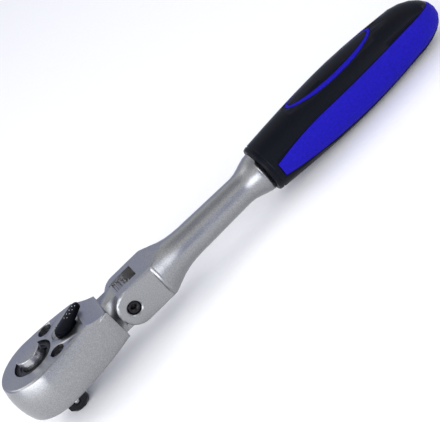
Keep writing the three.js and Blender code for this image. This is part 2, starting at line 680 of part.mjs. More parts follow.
// Lever pieces are made pointing along +X and turned together to the thrown position
function reverseLever() {
  const spindleEnd = PAWL_BOTTOM;
  const grooveLow = LEVER_CLIP_BOTTOM - PIN_GAP;
  const grooveHigh = LEVER_CLIP_BOTTOM + LEVER_CLIP_THICKNESS + PIN_GAP;
  const groove = SPINDLE_RADIUS - LEVER_CLIP_GROOVE;
  const hub = turned([
    [0, spindleEnd], [SPINDLE_RADIUS, spindleEnd], [SPINDLE_RADIUS, grooveLow], [groove, grooveLow],
    [groove, grooveHigh], [SPINDLE_RADIUS, grooveHigh], [SPINDLE_RADIUS, HUB_FLOOR + RUNNING_GAP],
    [HUB_RADIUS, HUB_FLOOR + RUNNING_GAP], [HUB_RADIUS, HUB_TOP - HUB_BEVEL],
    [HUB_RADIUS - HUB_BEVEL, HUB_TOP], [0, HUB_TOP],
  ]);
  const tipX = TAB_REACH - TAB_TIP_RADIUS;
  const tipRadius = TAB_TIP_RADIUS - TAB_BEVEL;
  const half = TAB_HALF_WIDTH - TAB_BEVEL;
  const front = TAB_BEVEL - TAB_FRONT;
  const taper = Math.asin((half - tipRadius) / (tipX + TAB_SHOULDER));
  const outline = [
    new THREE.Vector2(front, -half / 2),
    new THREE.Vector2(-TAB_SHOULDER, -half),
    ...arc(tipX, 0, tipRadius, taper - Math.PI / 2, Math.PI / 2 - taper, TAB_STEPS),
    new THREE.Vector2(-TAB_SHOULDER, half),
    new THREE.Vector2(front, half / 2),
  ];
  const tab = new THREE.ExtrudeGeometry(new THREE.Shape(outline), {
    depth: TAB_HEIGHT - 2 * TAB_BEVEL,
    bevelThickness: TAB_BEVEL,
    bevelSize: TAB_BEVEL,
    bevelSegments: 2,
  });
  tab.translate(0, -TAB_OFFSET, HEAD_TOP + RUNNING_GAP + TAB_BEVEL);
  const boreRadius = SELECTOR_RADIUS + PIN_GAP;
  const boreMouth = -SPINDLE_RADIUS - OVERRUN;
  const boreEnd = SPINDLE_RADIUS - SELECTOR_WALL;
  const bore = turnedAlongY(
    [[0, boreMouth], [boreRadius, boreMouth], [boreRadius, boreEnd], [0, boreEnd]],
    0,
    SELECTOR_Z,
    SMALL_ROUND,
  ).rotate([0, 0, -90]);
  return piece('reverse_lever', hub.add(toSolid(tab)).subtract(bore), BLACK_LEVER);
}

function leverClip() {
  const inner = SPINDLE_RADIUS - LEVER_CLIP_GROOVE + PIN_GAP;
  const outer = SPINDLE_RADIUS + LEVER_CLIP_WIDTH - PIN_GAP;
  const high = LEVER_CLIP_BOTTOM + LEVER_CLIP_THICKNESS;
  const ring = splitRing(inner, outer, LEVER_CLIP_BOTTOM, high, LEVER_CLIP_SPLIT);
  return piece('lever_clip', ring, SPRING_STEEL);
}

// The plunger and its spring lie in the spindle's cross bore and press on the pawl's back
function selectorPlunger() {
  const back = SELECTOR_LENGTH - SELECTOR_TIP;
  const nose = arc(0, 0, 1, -Math.PI / 2, 0, EDGE_STEPS).map((p) => (
    [SELECTOR_RADIUS * p.x, SELECTOR_NOSE * (1 + p.y) - SELECTOR_TIP]
  ));
  const plunger = turnedAlongY(
    [...nose, [SELECTOR_RADIUS, back], [0, back]],
    0,
    SELECTOR_Z,
    SMALL_ROUND,
  ).rotate([0, 0, -90]);
  return piece('selector_plunger', plunger, TOOL_STEEL);
}

function selectorSpring() {
  const low = SELECTOR_LENGTH - SELECTOR_TIP + PIN_GAP;
  const high = SPINDLE_RADIUS - SELECTOR_WALL - PIN_GAP;
  const spring = coilSpring(
    'selector_spring',
    SELECTOR_SPRING_RADIUS,
    SELECTOR_TURNS,
    SELECTOR_WIRE,
    low,
    high,
  );
  spring.rotateY(Math.PI / 2);
  spring.translate(0, 0, SELECTOR_Z);
  return piece('selector_spring', toSolid(spring), SPRING_STEEL);
}

// The pawl rocks on its pin; the gear, grown by a clearance, cuts each end's teeth where it meshes
function pawl() {
  const meshRadius = GEAR_RADIUS - TOOTH_DEPTH + TOOTH_GAP;
  const middle = (PAWL_INNER_ANGLE + PAWL_OUTER_ANGLE) / 2;
  const swing = PAWL_TILT * PAWL_PIN_X * Math.sin(middle);
  const endRadius = meshRadius + swing;
  const outer = PAWL_FRONT + PAWL_DEPTH - PAWL_RELIEF;
  const upper = [
    ...arc(0, 0, PAWL_FRONT, 0, PAWL_INNER_ANGLE, 4).slice(1),
    ...arc(0, 0, endRadius, PAWL_INNER_ANGLE, PAWL_OUTER_ANGLE, 8),
    new THREE.Vector2(outer * Math.cos(PAWL_OUTER_ANGLE), outer * Math.sin(PAWL_OUTER_ANGLE)),
    new THREE.Vector2(PAWL_BACK, PAWL_BACK_HALF),
  ];
  const lower = upper.map((p) => new THREE.Vector2(p.x, -p.y)).reverse();
  const blank = standing([new THREE.Vector2(PAWL_FRONT, 0), ...upper, ...lower], PAWL_BOTTOM, PAWL_TOP);
  const low = PAWL_BOTTOM - OVERRUN;
  const high = PAWL_TOP + OVERRUN;
  const gear = standing(gearOutline(TOOTH_GAP), low, high);
  const rock = (solid, angle) => solid
    .translate([-PAWL_PIN_X, 0, 0])
    .rotate([0, 0, THREE.MathUtils.radToDeg(angle)])
    .translate([PAWL_PIN_X, 0, 0]);
  const dish = rod(SELECTOR_TIP + 2 * RUNNING_GAP, low, high, LEVER_X, 0);
  const hole = rod(PAWL_PIN_RADIUS + PIN_GAP, low, high, PAWL_PIN_X, 0, SMALL_ROUND);
  const plain = blank.subtract(dish).subtract(hole);
  const oneEnd = rock(plain, PAWL_TILT).subtract(gear);
  const bothEnds = rock(oneEnd, -2 * PAWL_TILT).subtract(gear);
  return piece('pawl', bothEnds, TOOL_STEEL);
}

function pawlPin() {
  const top = PAWL_POCKET_TOP + PAWL_PIN_SEAT - PIN_GAP;
  const pin = rod(PAWL_PIN_RADIUS, PLATE_TOP + PIN_GAP, top, PAWL_PIN_X, 0, SMALL_ROUND);
  return piece('pawl_pin', pin, TOOL_STEEL);
}

// Radius of the shank: a rounded edge behind the ears, the flare, the waist, then the collar at the grip
function shankProfile() {
  const collarStart = GRIP_FRONT_X - RUNNING_GAP - COLLAR_LENGTH;
  const flareEnd = FORK_BACK_X + FLARE_LENGTH;
  const edgeX = FORK_BACK_X + FLARE_EDGE;
  const edgeRadius = FORK_ROUND_RADIUS - FLARE_EDGE;
  const edge = arc(edgeX, edgeRadius, FLARE_EDGE, Math.PI, Math.PI / 2 - FLARE_LEAN, EDGE_STEPS);
  const profile = edge.map((p) => [p.y, p.x]);
  const [startRadius, startX] = profile[profile.length - 1];
  const fall = startRadius - SHANK_FRONT_RADIUS;
  const run = flareEnd - startX;
  const curve = (Math.tan(FLARE_LEAN) * run) / fall;
  for (let i = 1; i <= FLARE_STEPS; i += 1) {
    const t = i / FLARE_STEPS;
    profile.push([SHANK_FRONT_RADIUS + fall * (1 - t) ** curve, startX + run * t]);
  }
  profile.push([(SHANK_FRONT_RADIUS + SHANK_REAR_RADIUS) / 2, (flareEnd + collarStart) / 2]);
  const rise = COLLAR_RADIUS - SHANK_REAR_RADIUS;
  for (let i = 0; i <= COLLAR_STEPS; i += 1) {
    const t = i / COLLAR_STEPS;
    profile.push([SHANK_REAR_RADIUS + rise * t * t * (3 - 2 * t), collarStart + COLLAR_LENGTH * t]);
  }
  return profile;
}

// The fork's ears before the slot is cut: rounded at the front, with beveled outer edges
function earBlank() {
  const half = FORK_HEIGHT / 2 - EAR_BEVEL;
  const end = FORK_BACK_X + RUNNING_GAP;
  const outline = [
    ...arc(PIVOT_X + EAR_SETBACK, AXIS_Z, half, Math.PI / 2, 1.5 * Math.PI, EAR_STEPS),
    new THREE.Vector2(end, AXIS_Z - half),
    new THREE.Vector2(end, AXIS_Z + half),
  ];
  const geometry = new THREE.ExtrudeGeometry(new THREE.Shape(outline), {
    depth: FORK_WIDTH - 2 * EAR_BEVEL,
    bevelThickness: EAR_BEVEL,
    bevelSize: EAR_BEVEL,
    bevelSegments: 1,
  });
  geometry.translate(0, 0, EAR_BEVEL - FORK_WIDTH / 2);
  geometry.rotateX(Math.PI / 2);
  return toSolid(geometry);
}

function handleForging() {
  const collarEnd = GRIP_FRONT_X - RUNNING_GAP;
  const wide = 2 * FORK_ROUND_RADIUS;
  const half = FORK_HEIGHT / 2;
  const shank = turnedAlongX([
    [0, FORK_BACK_X], ...shankProfile(),
    [TANG_RADIUS, collarEnd], [TANG_RADIUS, TANG_END_X], [0, TANG_END_X],
  ], SHANK_ROUND);
  const tools = [];
  for (const side of [-1, 1]) {
    const beside = (inner) => [AXIS_Z + side * inner, AXIS_Z + side * wide].sort((a, b) => a - b);
    const [forkLow, forkHigh] = beside(half);
    const [tangLow, tangHigh] = beside(TANG_FLAT);
    tools.push(block([FORK_BACK_X - OVERRUN, -wide, forkLow], [collarEnd - COLLAR_LENGTH, wide, forkHigh]));
    tools.push(block([collarEnd, -wide, tangLow], [TANG_END_X + OVERRUN, wide, tangHigh]));
  }
  const forging = cutAll(shank, tools).add(earBlank());
  const slot = TONGUE_THICKNESS / 2 + TONGUE_GAP;
  const face = FORK_WIDTH / 2;
  const mouth = PIVOT_RADIUS + PIN_GAP;
  const pinBore = INDEX_PIN_RADIUS + PIN_GAP;
  const springEnd = INDEX_PIN_END + INDEX_SPRING_LENGTH + 2 * PIN_GAP;
  const bevel = turnedAlongY([
    [0, -face - OVERRUN], [mouth + PIVOT_BEVEL + OVERRUN, -face - OVERRUN],
    [mouth, PIVOT_BEVEL - face], [0, PIVOT_BEVEL - face],
  ], PIVOT_X, AXIS_Z);
  const indexBore = turnedAlongX([
    [0, SLOT_END_X - OVERRUN], [pinBore, SLOT_END_X - OVERRUN], [pinBore, springEnd], [0, springEnd],
  ], SMALL_ROUND);
  const solid = cutAll(forging, [
    block([PIVOT_X - FORK_HEIGHT, -slot, AXIS_Z - wide], [SLOT_END_X, slot, AXIS_Z + wide]),
    pivotBore(),
    bevel,
    indexBore,
  ]);
  return piece('handle_forging', solid, SATIN_CHROME);
}

function pivotScrew() {
  const near = -(FORK_WIDTH / 2 - PIVOT_DROP);
  const far = FORK_WIDTH / 2 - PIN_GAP;
  const edge = PIVOT_BEVEL;
  const screw = turnedAlongY([
    [0, near], [PIVOT_RADIUS - edge, near], [PIVOT_RADIUS, near + edge],
    [PIVOT_RADIUS, far - edge], [PIVOT_RADIUS - edge, far], [0, far],
  ], PIVOT_X, AXIS_Z);
  const mouth = near - OVERRUN;
  const floor = near + PIVOT_SOCKET_DEPTH;
  const socket = turnedAlongY(
    [[0, mouth], [PIVOT_SOCKET, mouth], [PIVOT_SOCKET, floor], [0, floor]],
    PIVOT_X,
    AXIS_Z,
    SOCKET_SIDES,
  );
  return piece('pivot_screw', screw.subtract(socket), BLACK_OXIDE);
}

// A round plunger with a wedge nose that drops into the tongue's notch
function indexPlunger() {
  const body = turnedAlongX([
    [0, INDEX_PIN_TIP], [INDEX_PIN_RADIUS, INDEX_PIN_TIP],
    [INDEX_PIN_RADIUS, INDEX_PIN_END], [0, INDEX_PIN_END],
  ], SMALL_ROUND);
  const slope = (NOTCH_MOUTH - NOTCH_ROOT) / NOTCH_DEPTH;
  const nose = NOTCH_ROOT - PIN_GAP;
  const run = (INDEX_PIN_RADIUS - nose) / slope;
  const wedge = sideways([
    new THREE.Vector2(INDEX_PIN_TIP, AXIS_Z - nose),
    new THREE.Vector2(INDEX_PIN_TIP + run, AXIS_Z - INDEX_PIN_RADIUS),
    new THREE.Vector2(INDEX_PIN_END + OVERRUN, AXIS_Z - INDEX_PIN_RADIUS),
    new THREE.Vector2(INDEX_PIN_END + OVERRUN, AXIS_Z + INDEX_PIN_RADIUS),
    new THREE.Vector2(INDEX_PIN_TIP + run, AXIS_Z + INDEX_PIN_RADIUS),
    new THREE.Vector2(INDEX_PIN_TIP, AXIS_Z + nose),
  ], 4 * INDEX_PIN_RADIUS);
  return piece('index_plunger', body.intersect(wedge), TOOL_STEEL);
}

function indexSpring() {
  const low = INDEX_PIN_END + PIN_GAP;
  const spring = coilSpring(
    'index_spring',
    INDEX_SPRING_RADIUS,
    INDEX_TURNS,
    INDEX_WIRE,
    low,
    low + INDEX_SPRING_LENGTH,
  );
  spring.rotateY(Math.PI / 2);
  spring.translate(0, 0, AXIS_Z);
  return piece('index_spring', toSolid(spring), SPRING_STEEL);
}

// Grip radius at a distance from its front, up to the butt: a swell for the palm
function gripRadius(at) {
  const rise = at < GRIP_SWELL_AT;
  const span = rise ? GRIP_SWELL_AT : GRIP_LENGTH - GRIP_BUTT_LENGTH - GRIP_SWELL_AT;
  const away = Math.abs(at - GRIP_SWELL_AT) / span;
  const low = rise ? GRIP_FRONT_RADIUS : GRIP_REAR_RADIUS;
  return GRIP_SWELL_RADIUS - (GRIP_SWELL_RADIUS - low) * away ** GRIP_SWELL_CURVE;
}

// The front of the grip: a rounded lip, then a bead closed off by a shallow groove
function gripMouth() {
  const lip = arc(GRIP_LIP, GRIP_FRONT_RADIUS - GRIP_LIP, GRIP_LIP, Math.PI, Math.PI / 2, 2);
  const groove = [
    [GRIP_BEAD, 0],
    [GRIP_BEAD + GRIP_GROOVE, GRIP_GROOVE],
    [GRIP_BEAD + 2 * GRIP_GROOVE, 0],
  ];
  return [
    ...lip.map((p) => [p.x, p.y]),
    ...groove.map(([at, drop]) => [at, gripRadius(at) - drop]),
  ];
}

// The grip's outer form, or the same form drawn in by a depth and without its mouth
function gripForm(depth) {
  const straight = GRIP_LENGTH - GRIP_BUTT_LENGTH;
  const stations = depth === 0 ? gripMouth() : [[-OVERRUN, gripRadius(0) - depth]];
  const start = GRIP_BEAD + 3 * GRIP_GROOVE;
  for (let i = 0; i <= GRIP_STEPS; i += 1) {
    const at = start + (straight - start) * (i / GRIP_STEPS);
    stations.push([at, gripRadius(at) - depth]);
  }
  for (let i = 1; i <= BUTT_STEPS; i += 1) {
    const turn = (i / BUTT_STEPS) * GRIP_BUTT_SWEEP;
    const at = straight + (GRIP_BUTT_LENGTH - depth) * Math.sin(turn);
    stations.push([at, (GRIP_REAR_RADIUS - depth) * Math.cos(turn)]);
  }
  const rings = stations.map(([at, radius]) => {
    const past = Math.max(0, (at - straight) / GRIP_BUTT_LENGTH);
    const middle = AXIS_Z - GRIP_BUTT_DROP * past * past;
    const ring = [];
    for (let side = 0; side < GRIP_SIDES; side += 1) {
      const angle = (side / GRIP_SIDES) * 2 * Math.PI;
      const c = Math.cos(angle);
      const s = Math.sin(angle);
      const sum = Math.abs(c) ** GRIP_SQUARENESS + Math.abs(s) ** GRIP_SQUARENESS;
      const reach = radius * sum ** (-1 / GRIP_SQUARENESS);
      ring.push(new THREE.Vector3(GRIP_FRONT_X + at, reach * c, middle + reach * s));
    }
    return ring;
  });
  return loft(rings);
}

// Side view of the inlay, which runs along both flanks and round the butt
function inlayOutline(grow) {
  const front = GRIP_FRONT_X + INLAY_FRONT - grow;
  const lowX = GRIP_FRONT_X + INLAY_LOW_AT;
  const past = GRIP_END_X + OVERRUN;
  const top = AXIS_Z + INLAY_TOP + grow;
  const low = AXIS_Z - INLAY_LOW - grow;
  const endTop = AXIS_Z + INLAY_END_TOP + grow;
  const endLow = AXIS_Z - INLAY_END_LOW - grow;
  const path = new THREE.Path();
  path.moveTo(front, AXIS_Z + INLAY_FRONT_TOP + grow);
  path.quadraticCurveTo(front + INLAY_TOP_PULL, top, front + INLAY_TOP_RUN, top);
  path.lineTo(BUTT_X, top);
  path.quadraticCurveTo(BUTT_X + INLAY_END_PULL, top, GRIP_END_X, endTop);
  path.lineTo(past, endTop);
  path.lineTo(past, endLow);
  path.lineTo(GRIP_END_X, endLow);
  path.quadraticCurveTo(BUTT_X, low, lowX, low);
  path.quadraticCurveTo(front + INLAY_LOW_PULL, low, front, AXIS_Z - INLAY_FRONT_LOW - grow);
  return path.getPoints(INLAY_STEPS);
}

const inlayBand = (grow) => sideways(inlayOutline(grow), 6 * GRIP_SWELL_RADIUS);

// An upright oval column over the badge's place, from the axis upwards
function badgeColumn(shrink) {
  const oval = new THREE.EllipseCurve(
    GRIP_FRONT_X + BADGE_CENTRE,
    0,
    BADGE_HALF_LENGTH - shrink,
    BADGE_HALF_WIDTH - shrink,
  );
  const outline = oval.getPoints(ROUND).slice(0, ROUND);
  return standing(outline, AXIS_Z, AXIS_Z + 2 * GRIP_SWELL_RADIUS);
}

function gripPieces() {
  const whole = gripForm(0);
  const inlay = whole.intersect(inlayBand(0)).subtract(gripForm(INLAY_DEPTH));
  const inlaySeat = inlayBand(RUNNING_GAP).subtract(gripForm(INLAY_DEPTH + RUNNING_GAP));
  const badgeSeat = badgeColumn(-RUNNING_GAP).subtract(gripForm(BADGE_DEPTH + RUNNING_GAP));
  const badge = whole.intersect(badgeColumn(0)).subtract(gripForm(BADGE_DEPTH));
  const ring = badge.subtract(badgeColumn(BADGE_RING_WIDTH));
  const plate = badge.intersect(badgeColumn(BADGE_RING_WIDTH + RUNNING_GAP));
  const front = GRIP_FRONT_X - OVERRUN;
  const boreRadius = TANG_RADIUS + RUNNING_GAP;
  const boreEnd = TANG_END_X + RUNNING_GAP;
  const tangBore = turnedAlongX(
    [[0, front], [boreRadius, front], [boreRadius, boreEnd], [0, boreEnd]],
    SMALL_ROUND,
  );
  const keyed = TANG_FLAT + RUNNING_GAP;
  const bore = tangBore.intersect(block(
    [front - OVERRUN, -GRIP_SWELL_RADIUS, AXIS_Z - keyed],
    [GRIP_END_X, GRIP_SWELL_RADIUS, AXIS_Z + keyed],
  ));
  const core = cutAll(whole, [inlaySeat, badgeSeat, bore]);
  return [
    piece('grip_core', core, GRIP_BLACK),
    piece('grip_inlay', inlay, GRIP_BLUE),
    piece('badge_ring', ring, GRIP_BLUE),
    piece('badge_plate', plate, GRIP_BLACK),
  ];
}

const lever = new THREE.Group();
lever.add(reverseLever(), leverClip(), selectorPlunger(), selectorSpring());
lever.position.x = LEVER_X;
lever.rotation.z = LEVER_THROW;

const drive = new THREE.Group();
drive.add(driveGear(), releaseButton(), buttonClip(), releaseSpring(), detentBall());

const head = new THREE.Group();
head.add(headHousing(), coverPlate(), pawl(), pawlPin(), drive, lever);
head.add(coverScrew('cover_screw_near', -1), coverScrew('cover_screw_far', 1));

const handle = new THREE.Group();
handle.add(handleForging(), pivotScrew(), indexPlunger(), indexSpring(), ...gripPieces());

const ratchet = new THREE.Group();
ratchet.add(head, handle);

export default ratchet;
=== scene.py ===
import json
import math
from typing import NamedTuple

import bmesh
import bpy
from bpy.props import FloatProperty, FloatVectorProperty, IntProperty, PointerProperty
from mathutils import Matrix, Vector

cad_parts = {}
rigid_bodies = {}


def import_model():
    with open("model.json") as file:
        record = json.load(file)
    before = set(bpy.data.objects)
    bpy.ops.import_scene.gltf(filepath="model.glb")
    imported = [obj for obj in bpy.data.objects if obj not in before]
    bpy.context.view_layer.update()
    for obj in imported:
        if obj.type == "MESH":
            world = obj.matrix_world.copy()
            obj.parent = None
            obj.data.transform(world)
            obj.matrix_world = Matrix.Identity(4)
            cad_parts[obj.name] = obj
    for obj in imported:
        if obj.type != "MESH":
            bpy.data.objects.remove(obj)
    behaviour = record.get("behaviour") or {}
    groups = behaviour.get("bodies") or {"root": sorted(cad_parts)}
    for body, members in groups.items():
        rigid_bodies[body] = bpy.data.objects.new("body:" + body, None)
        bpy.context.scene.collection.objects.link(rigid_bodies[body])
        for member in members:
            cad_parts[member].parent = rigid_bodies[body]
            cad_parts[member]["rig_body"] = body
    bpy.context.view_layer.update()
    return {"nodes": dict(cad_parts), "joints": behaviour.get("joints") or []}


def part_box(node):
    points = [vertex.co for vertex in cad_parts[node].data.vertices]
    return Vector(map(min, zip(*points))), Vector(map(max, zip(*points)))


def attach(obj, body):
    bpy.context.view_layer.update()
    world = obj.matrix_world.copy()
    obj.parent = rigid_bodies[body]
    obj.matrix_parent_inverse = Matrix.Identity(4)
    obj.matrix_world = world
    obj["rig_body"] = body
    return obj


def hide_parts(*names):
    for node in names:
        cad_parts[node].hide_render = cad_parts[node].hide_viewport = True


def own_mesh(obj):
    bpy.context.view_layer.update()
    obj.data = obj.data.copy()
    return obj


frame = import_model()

bl_info = {
    "name": "Flex head ratchet",
    "version": (1, 0, 0),
    "blender": (4, 5, 0),
    "location": "View3D > Sidebar > Ratchet",
    "description": "Dresses the packed flex head ratchet with its finishes and small details",
    "category": "Object",
}

MM = 0.001

# Edges that turn by more than the crease, in degrees, stay sharp.
FORGED_CREASE = 26
PLAIN_CREASE = 30
SCREW_CREASE = 40
LEVER_CREASE = 50
ROUND_CREASE = 80
FLAT_WEIGHT = 60
WELD_DISTANCE = 0.001 * MM

# Tests that pick the faces of a second finish, which include painted shade round the screw seats and
# painted light in the fork's slot.
FACING = 0.9
UPRIGHT = 0.5
SEAT_MARGIN = 0.5 * MM
# SLOT_MARGIN and SLOT_HALF bound the painted light in the fork's slot.
SLOT_MARGIN = 3 * MM
SLOT_HALF = 5.5 * MM
CROWN_DEPTH = 0.1 * MM

# Noise seldom leaves this span.
NOISE_LOW = 0.3
NOISE_HIGH = 0.7
RELIEF_DEPTH = 0.05 * MM

DOT_SEGMENTS = 12
DOT_RINGS = 8

# Coil springs and the joints of the parts that press on them.
SPRINGS = (
    ("release_spring", "quick_release"),
    ("index_spring", "index_press"),
    ("selector_spring", "selector_press"),
)

# Soft boxes: name, setting with the power, place, width and height. Lengths are in metres.
SOFT_BOXES = (
    ("left_box", "left", (-0.58, -0.55, 0.26), 1.2, 0.5),
    ("right_box", "right", (0.72, -0.62, 0.36), 0.5, 0.5),
    ("back_box", "back", (-0.44, 0.27, 0.67), 0.5, 0.5),
)
BOX_AIM = Vector((0.1, 0, 0.02))

# Heights in the sky, from 0 at eye level to 1 overhead, where its tones lie.
HORIZON_HEIGHT = 0.45
RING_HEIGHTS = (0.68, 0.8)
ZENITH_HEIGHT = 0.97

FLOOR_HALF = 4
DRIVE_TOE = 4.2 * MM

# Camera at the photograph's viewing angle.
CAMERA_PLACE = (0.060348, -0.478832, 0.254545)
CAMERA_RIGHT = (0.715063, -0.352759, -0.603528)
CAMERA_UP = (0.695490, 0.271842, 0.665129)
CAMERA_BACK = (-0.070566, -0.895356, 0.439724)
SENSOR_WIDTH = 36
CLIP_START = 0.01


class Recipe(NamedTuple):
    """How a finish looks. Its colour is named by a setting."""

    colour: str
    metallic: float
    rough: tuple
    grain: float
    contrast: float
    bump: float
    gloss: float = 0.5


RECIPES = {
    "satin_chrome": Recipe("satin", 1, (0.29, 0.37), grain=2100, contrast=0.17, bump=0.25),
    "polished_chrome": Recipe("polished", 1, (0.22, 0.30), grain=900, contrast=0.08, bump=0.03),
    # This finish also serves as painted shade on the walls of the screw seats.
    "black_oxide": Recipe("oxide", 0, (0.30, 0.42), grain=1400, contrast=0.30, bump=0.15, gloss=0.2),
    "black_lever": Recipe("lever", 0, (0.10, 0.15), grain=900, contrast=0.15, bump=0.05, gloss=0.025),
    "tool_steel": Recipe("steel", 1, (0.24, 0.34), grain=1200, contrast=0.15, bump=0.12),
    # Bright steel: springs and lever clip, and also painted light in the fork's slot and painted glints on
    # the lever's dots.
    "spring_steel": Recipe("spring", 1, (0.22, 0.30), grain=2000, contrast=0.08, bump=0.06),
    "grip_black": Recipe("rubber", 0, (0.34, 0.44), grain=1300, contrast=0.20, bump=0.25, gloss=0.08),
    "grip_blue": Recipe("inlay", 0, (0.50, 0.62), grain=1100, contrast=0.16, bump=0.30, gloss=0.05),
}
PAPER = Recipe("floor", 0, (0.85, 0.95), grain=400, contrast=0.01, bump=0.02, gloss=0.1)


def tint(name, description, default):
    """A colour setting, in linear light."""
    return FloatVectorProperty(
        name=name, description=description, subtype="COLOR", default=default, min=0, max=1,
    )


def length(name, description, default):
    """A length setting, in metres."""
    return FloatProperty(name=name, description=description, unit="LENGTH", default=default, min=0)


def watts(name, description, default):
    """A setting for the power of a light."""
    return FloatProperty(name=name, description=description, unit="POWER", default=default, min=0)


class RatchetFinishes(bpy.types.PropertyGroup):
    """Colours of the ratchet's finishes, in linear light."""

    satin: tint("Satin chrome", "Blasted chrome on head and handle", (0.297, 0.302, 0.309))
    polished: tint("Polished chrome", "Button wall and detent ball", (0.36, 0.36, 0.37))
    # This colour is also painted shade on the walls of the screw seats.
    oxide: tint("Black oxide", "Drive, screws and button clip", (0.007, 0.007, 0.009))
    lever: tint("Lever black", "Reversing lever", (0.0025, 0.003, 0.005))
    steel: tint("Tool steel", "Pawl, its pin and the two plungers", (0.07, 0.07, 0.08))
    # Its brightness also serves as painted light in the fork's slot and painted glints on the lever's
    # dots.
    spring: tint("Spring steel", "Springs, lever clip, lever dots and the fork's slot", (0.62, 0.61, 0.60))
    rubber: tint("Grip black", "Body of the grip", (0.0034, 0.0042, 0.0075))
    inlay: tint("Grip blue", "Inlay and badge ring", (0.011, 0.0075, 0.31))


class RatchetSizes(bpy.types.PropertyGroup):
    """Sizes of the raised dots on the lever's thumb tab."""

    dot_radius: length("Dot radius", "Radius of a raised dot", 0.24 * MM)
    dot_height: length("Dot height", "Height of a raised dot", 0.12 * MM)
    dot_pitch: length("Dot pitch", "Distance between neighbouring dots", 2.1 * MM)
    dots_along: IntProperty(name="Dots along", description="Dots along the tab", default=4, min=1)
    dots_across: IntProperty(name="Dots across", description="Dots across the tab", default=2, min=1)


class StageSettings(bpy.types.PropertyGroup):
    """Floor, light and camera."""

    lens: FloatProperty(
        name="Lens", description="Focal length on a 36 mm sensor", unit="CAMERA", default=103.99, min=1,
    )
    floor: tint("Floor", "Colour of the floor", (0.95, 0.95, 0.945))
    horizon: tint("Horizon", "Light from low down all round", (0.52, 0.55, 0.76))
    ring: tint("Ring", "Light from half way up all round", (1.0, 1.0, 0.98))
    zenith: tint("Zenith", "Light from overhead", (0.46, 0.47, 0.53))
    left: watts("Left box", "Power of the soft box at the head", 7.6)
    right: watts("Right box", "Power of the soft box at the grip", 2.3)
    back: watts("Back box", "Power of the soft box behind", 1.6)


def joint_named(name):
    """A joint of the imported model."""
    return next(joint for joint in frame["joints"] if joint["name"] == name)


def placed(name, data):
    """A new object in the scene."""
    thing = bpy.data.objects.new(name, data)
    bpy.context.scene.collection.objects.link(thing)
    return thing


def value_group(name, inputs, outputs):
    """An empty shader group with named float inputs and outputs."""
    group = bpy.data.node_groups.new(name, "ShaderNodeTree")
    for label, default in inputs:
        socket = group.interface.new_socket(label, in_out="INPUT", socket_type="NodeSocketFloat")
        socket.default_value = default
    for label in outputs:
        group.interface.new_socket(label, in_out="OUTPUT", socket_type="NodeSocketFloat")
    return group, group.nodes.new("NodeGroupInput"), group.nodes.new("NodeGroupOutput")


def noise(group, scale, detail):
    """Noise in object space, with its scale from a group input."""
    place = group.nodes.new("ShaderNodeTexCoord")
    node = group.nodes.new("ShaderNodeTexNoise")
    node.inputs["Detail"].default_value = detail
    group.links.new(place.outputs["Object"], node.inputs["Vector"])
    group.links.new(scale, node.inputs["Scale"])
    return node.outputs["Fac"]


def spread(group, value, low, high):
    """Maps a noise value from its usual span to the span between two group inputs."""
    node = group.nodes.new("ShaderNodeMapRange")
    node.inputs["From Min"].default_value = NOISE_LOW
    node.inputs["From Max"].default_value = NOISE_HIGH
    group.links.new(value, node.inputs["Value"])
    group.links.new(low, node.inputs["To Min"])
    group.links.new(high, node.inputs["To Max"])
    return node.outputs["Result"]


def grain_group():
    """Fine grain of a blasted or moulded skin: a height for bumps and a shade that follows it."""
    found = bpy.data.node_groups.get("fine_grain")
    if found:
        return found
    group, start, end = value_group(
        "fine_grain", [("Scale", 1700), ("Dark", 0.9), ("Light", 1.1)], ["Height", "Shade"],
    )
    fine = noise(group, start.outputs["Scale"], detail=2)
    shade = spread(group, fine, start.outputs["Dark"], start.outputs["Light"])
    group.links.new(fine, end.inputs["Height"])
    group.links.new(shade, end.inputs["Shade"])
    return group


def handling_group():
    """Faint smudges from handling: the roughness drifts between two values."""
    found = bpy.data.node_groups.get("handling")
    if found:
        return found
    group, start, end = value_group(
        "handling", [("Scale", 90), ("Smooth", 0.3), ("Rough", 0.4)], ["Roughness"],
    )
    broad = noise(group, start.outputs["Scale"], detail=4)
    rough = spread(group, broad, start.outputs["Smooth"], start.outputs["Rough"])
    group.links.new(rough, end.inputs["Roughness"])
    return group


def group_node(tree, group, values):
    """A group in a material, with its inputs set."""
    node = tree.nodes.new("ShaderNodeGroup")
    node.node_tree = group
    for label, value in values.items():
        node.inputs[label].default_value = value
    return node


def surface(label, settings, recipe):
    """A Principled material with grain in its colour and bumps, and handling in its roughness."""
    material = bpy.data.materials.new(label)
    material.use_nodes = True
    tree = material.node_tree
    shader = tree.nodes["Principled BSDF"]
    shader.inputs["Metallic"].default_value = recipe.metallic
    shader.inputs["Specular IOR Level"].default_value = recipe.gloss
    skin = group_node(tree, grain_group(), {
        "Scale": recipe.grain, "Dark": 1 - recipe.contrast, "Light": 1 + recipe.contrast,
    })
    smooth, rough = recipe.rough
    marks = group_node(tree, handling_group(), {"Smooth": smooth, "Rough": rough})
    shaded = tree.nodes.new("ShaderNodeVectorMath")
    shaded.operation = "SCALE"
    shaded.inputs[0].default_value = getattr(settings, recipe.colour)
    relief = tree.nodes.new("ShaderNodeBump")
    relief.inputs["Strength"].default_value = recipe.bump
    relief.inputs["Distance"].default_value = RELIEF_DEPTH
    tree.links.new(skin.outputs["Shade"], shaded.inputs["Scale"])
    tree.links.new(shaded.outputs["Vector"], shader.inputs["Base Color"])
    tree.links.new(marks.outputs["Roughness"], shader.inputs["Roughness"])
    tree.links.new(skin.outputs["Height"], relief.inputs["Height"])
    tree.links.new(relief.outputs["Normal"], shader.inputs["Normal"])
    return material


def finish(name):
    """A finish by its slot's name, made the first time it is asked for."""
    label = f"{name}_finish"
    found = bpy.data.materials.get(label)
    return found or surface(label, bpy.context.scene.ratchet_finishes, RECIPES[name])


